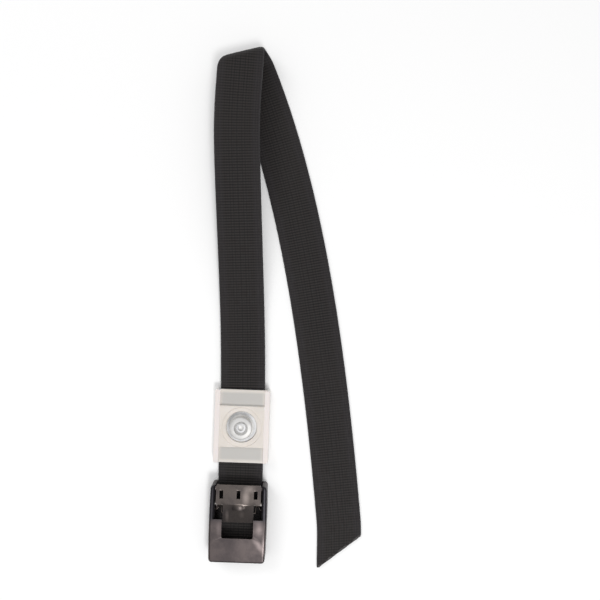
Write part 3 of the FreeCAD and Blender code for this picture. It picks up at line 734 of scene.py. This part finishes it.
def snap(material):
    """The stud: foot, neck, rounded gripping band, flat crown and dished middle."""
    low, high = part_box("snap_stud")
    centre = (low + high) / 2
    foot = low.z
    top = high.z
    profile = [(BORE_RADIUS, foot), (FOOT_RADIUS, foot)]
    profile += arc((FOOT_RADIUS, foot + FOOT_EDGE), FOOT_EDGE, -90, 60, 5)
    profile += [(4.5 * MM, foot + 0.5 * MM)]
    profile += arc((NECK_RADIUS + NECK_ROUND, foot + 0.85 * MM), NECK_ROUND, 250, 180, 4)
    profile += [(NECK_RADIUS, NECK_TOP_Z)]
    profile += arc((HEAD_RADIUS - HEAD_LOW_ROUND, HEAD_LOW_Z), HEAD_LOW_ROUND, 215, 360, 8)
    profile += arc((HEAD_RADIUS - HEAD_TOP_ROUND, top - 0.85 * MM), HEAD_TOP_ROUND, 0, 76, 8)
    profile += [(3.7 * MM, top - 0.02 * MM)]
    profile += arc((DISH_RIM_RADIUS, top - DISH_RIM_ROUND), DISH_RIM_ROUND, 80, 170, 6)
    profile += [(2.75 * MM, top - 0.9 * MM), (2.6 * MM, top - 1.3 * MM)]
    profile += arc((2.2 * MM, top - 1.3 * MM), 0.35 * MM, 0, -60, 4)
    profile += [(1.2 * MM, top - 2.2 * MM), (0.5 * MM, top - 2.45 * MM)]
    stud = lathe("snap_stud_crown", profile, centre, material)
    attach(stud, "snap_carrier")
    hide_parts("snap_stud")


# ---- studio ---------------------------------------------------------------------------------

def studio():
    """White floor, a key lamp in front on the right, a fill behind on the left, the camera overhead."""
    scene = bpy.context.scene
    far = FLOOR_REACH
    corners = [(-far, -far, 0), (far, -far, 0), (far, far, 0), (-far, far, 0)]
    floor = make_object("studio_floor", corners, [(0, 1, 2, 3)], floor_material(), smooth=False)
    floor.location.z = -FLOOR_DROP
    sky(scene)
    lamp("key", KEY_PLACE, KEY_TARGET, KEY_SIZE, KEY_POWER)
    lamp("fill", FILL_PLACE, FILL_TARGET, FILL_SIZE, FILL_POWER)
    camera = bpy.data.cameras.new("camera")
    camera.sensor_width = 36.0
    camera.lens = camera.sensor_width * CAMERA_HEIGHT / VIEW_WIDTH
    camera.clip_start = 0.01
    view = bpy.data.objects.new("camera", camera)
    scene.collection.objects.link(view)
    view.location = (*VIEW_CENTRE, CAMERA_HEIGHT)
    view.rotation_euler = (0.0, 0.0, CAMERA_ROLL)
    scene.camera = view
    scene.view_settings.view_transform = "Standard"


def sky(scene):
    """Surroundings like a light tent: bright overhead, dim towards the horizon."""
    world = bpy.data.worlds.new("studio")
    scene.world = world
    world.use_nodes = True
    tree = world.node_tree
    direction = tree.nodes.new("ShaderNodeTexCoord").outputs["Generated"]
    parts = tree.nodes.new("ShaderNodeSeparateXYZ")
    height = tree.nodes.new("ShaderNodeMapRange")
    height.interpolation_type = "SMOOTHSTEP"
    height.inputs["From Min"].default_value = SKY_RAMP[0]
    height.inputs["From Max"].default_value = SKY_RAMP[1]
    height.inputs["To Min"].default_value = SKY_HORIZON
    height.inputs["To Max"].default_value = SKY_OVERHEAD
    tree.links.new(direction, parts.inputs[0])
    tree.links.new(parts.outputs["Z"], height.inputs["Value"])
    tree.links.new(height.outputs["Result"], tree.nodes["Background"].inputs["Strength"])
    tree.nodes["Background"].inputs["Color"].default_value = (1, 1, 1, 1)


def lamp(name, place, target, size, power):
    """A square area light aimed at a point."""
    light = bpy.data.lights.new(name, "AREA")
    light.shape = "SQUARE"
    light.size = size
    light.energy = power
    holder = bpy.data.objects.new(name, light)
    bpy.context.scene.collection.objects.link(holder)
    holder.location = place
    holder.rotation_euler = (Vector(target) - Vector(place)).to_track_quat("-Z", "Y").to_euler()


def main():
    plating = plated_material("black_nickel", BLACK_NICKEL, (0.26, 0.4), frame_painted_highlights(), wear=0.35,
                              paint_wall_shade=True)
    lever_plating = plated_material("lever_nickel", LEVER_NICKEL, (0.22, 0.36), lever_painted_highlights(), wear=0.3)
    wire = brushed_material("spring_wire", (0.13, 0.11, 0.1, 1), 0.34)
    steel = brushed_material("pin_steel", (0.4, 0.38, 0.36, 1), 0.3)
    stainless = brushed_material("stainless", (0.62, 0.6, 0.58, 1), 0.25)
    nickel = plated_material("satin_nickel", SATIN_NICKEL, (0.56, 0.68))
    dull_nickel = plated_material("dull_nickel", DULL_NICKEL, (0.62, 0.76))
    dress("buckle_frame", plating, 0.15 * MM)
    dress("clamp_lever", lever_plating, 0.12 * MM)
    dress("hinge_pin", steel)
    dress("anchor_plate", lever_plating, 0.1 * MM)
    dress("anchor_rivets", steel)
    dress("slide_cover", milky_material(), 0.12 * MM)
    dress("contact_plate", stainless)
    dress("contact_bridge", stainless)
    dress("snap_washer", dull_nickel, 0.1 * MM)
    dress("stud_eyelet", dull_nickel, 0.05 * MM)
    along, across, places, normals = band_grid()
    webbing(along, across, places, normals)
    melted_end(across, places)
    for side in (-1, 1):
        lever_spring(side, wire)
    snap(nickel)
    studio()


main()
